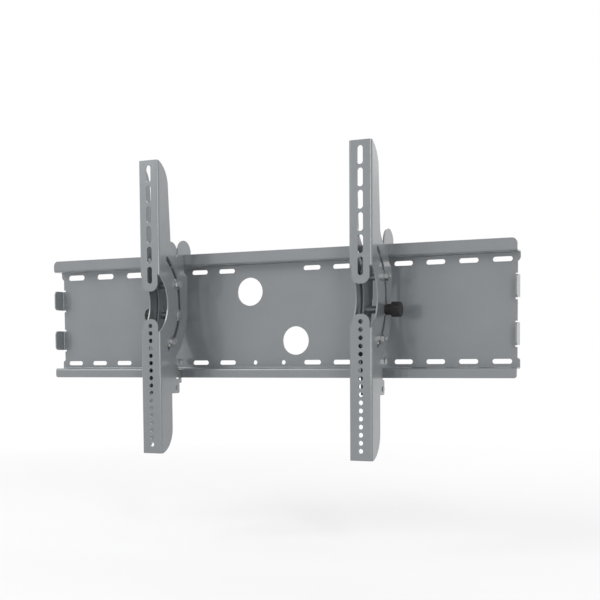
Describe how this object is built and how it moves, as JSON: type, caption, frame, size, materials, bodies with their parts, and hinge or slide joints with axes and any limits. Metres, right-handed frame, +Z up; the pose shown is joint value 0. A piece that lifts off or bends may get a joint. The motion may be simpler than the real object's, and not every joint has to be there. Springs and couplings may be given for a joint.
{
  "type": "tv wall mount",
  "caption": "Tilting wall mount for a flat screen: folded wall plate with hook rails, and two arms that hang on it, slide along it and tilt, each clamped by a knob.",
  "frame": {"origin": "centre of the wall plate's back face, in the wall's plane", "axes": "+X along the rails to the viewer's right, +Y into the wall, +Z up; millimetre model, stored in metres"},
  "size_m": [0.914, 0.122, 0.5194],
  "materials": {
    "coated_steel": "satin powder coat",
    "zinc_steel": "bright zinc",
    "black_steel": "black oxide",
    "black_plastic": "moulded, matt",
    "grey_plastic": "moulded, matt",
    "nylon": "natural nylon",
    "brass": "turned"
  },
  "bodies": {
    "wall": {"wall_plate": "coated_steel"},
    "left_bracket": {"left_hook_bracket": "coated_steel", "left_upper_guide_bolt": "zinc_steel", "left_lower_guide_bolt": "zinc_steel", "left_guide_nuts": "zinc_steel", "left_guide_washers": "zinc_steel", "left_friction_washers": "nylon", "left_spacer_tubes": "zinc_steel", "left_clamp_bolt": "black_steel", "left_knob_washer": "zinc_steel", "left_latch_pin": "black_steel", "left_latch_spring": "zinc_steel", "left_rail_stop": "grey_plastic", "left_stop_pin": "black_steel"},
    "left_tilt": {"left_arm": "coated_steel"},
    "left_grip": {"left_knob": "black_plastic", "left_knob_insert": "brass"},
    "left_catch": {"left_latch": "black_steel"},
    "right_bracket": {"right_hook_bracket": "coated_steel", "right_upper_guide_bolt": "zinc_steel", "right_lower_guide_bolt": "zinc_steel", "right_guide_nuts": "zinc_steel", "right_guide_washers": "zinc_steel", "right_friction_washers": "nylon", "right_spacer_tubes": "zinc_steel", "right_clamp_bolt": "black_steel", "right_knob_washer": "zinc_steel", "right_latch_pin": "black_steel", "right_latch_spring": "zinc_steel", "right_rail_stop": "grey_plastic", "right_stop_pin": "black_steel"},
    "right_tilt": {"right_arm": "coated_steel"},
    "right_grip": {"right_knob": "black_plastic", "right_knob_insert": "brass"},
    "right_catch": {"right_latch": "black_steel"}
  },
  "joints": [
    {"name": "left_slide", "type": "slide", "parent": "wall", "child": "left_bracket", "axis": [1, 0, 0], "range_m": [-0.25, 0.1]},
    {"name": "left_tilt_hinge", "type": "hinge", "parent": "left_bracket", "child": "left_tilt", "pos_m": [-0.177, -0.152, 0.0225], "axis": [1, 0, 0], "range_deg": [-5, 10]},
    {"name": "left_knob_turn", "type": "hinge", "parent": "left_bracket", "child": "left_grip", "pos_m": [-0.207, -0.05531, 0.0037], "axis": [-1, 0, 0], "range_deg": [0, 270]},
    {"name": "left_latch_hinge", "type": "hinge", "parent": "left_bracket", "child": "left_catch", "pos_m": [-0.177, -0.0565, -0.1295], "axis": [1, 0, 0], "range_deg": [-22, 0], "stiffness_Nm_per_rad": 0.05, "springref_deg": 28.65},
    {"name": "right_slide", "type": "slide", "parent": "wall", "child": "right_bracket", "axis": [1, 0, 0], "range_m": [-0.1, 0.2]},
    {"name": "right_tilt_hinge", "type": "hinge", "parent": "right_bracket", "child": "right_tilt", "pos_m": [0.223, -0.152, 0.0225], "axis": [1, 0, 0], "range_deg": [-5, 10]},
    {"name": "right_knob_turn", "type": "hinge", "parent": "right_bracket", "child": "right_grip", "pos_m": [0.253, -0.05531, 0.0037], "axis": [1, 0, 0], "range_deg": [0, 270]},
    {"name": "right_latch_hinge", "type": "hinge", "parent": "right_bracket", "child": "right_catch", "pos_m": [0.223, -0.0565, -0.1295], "axis": [1, 0, 0], "range_deg": [-22, 0], "stiffness_Nm_per_rad": 0.05, "springref_deg": 28.65}
  ]
}
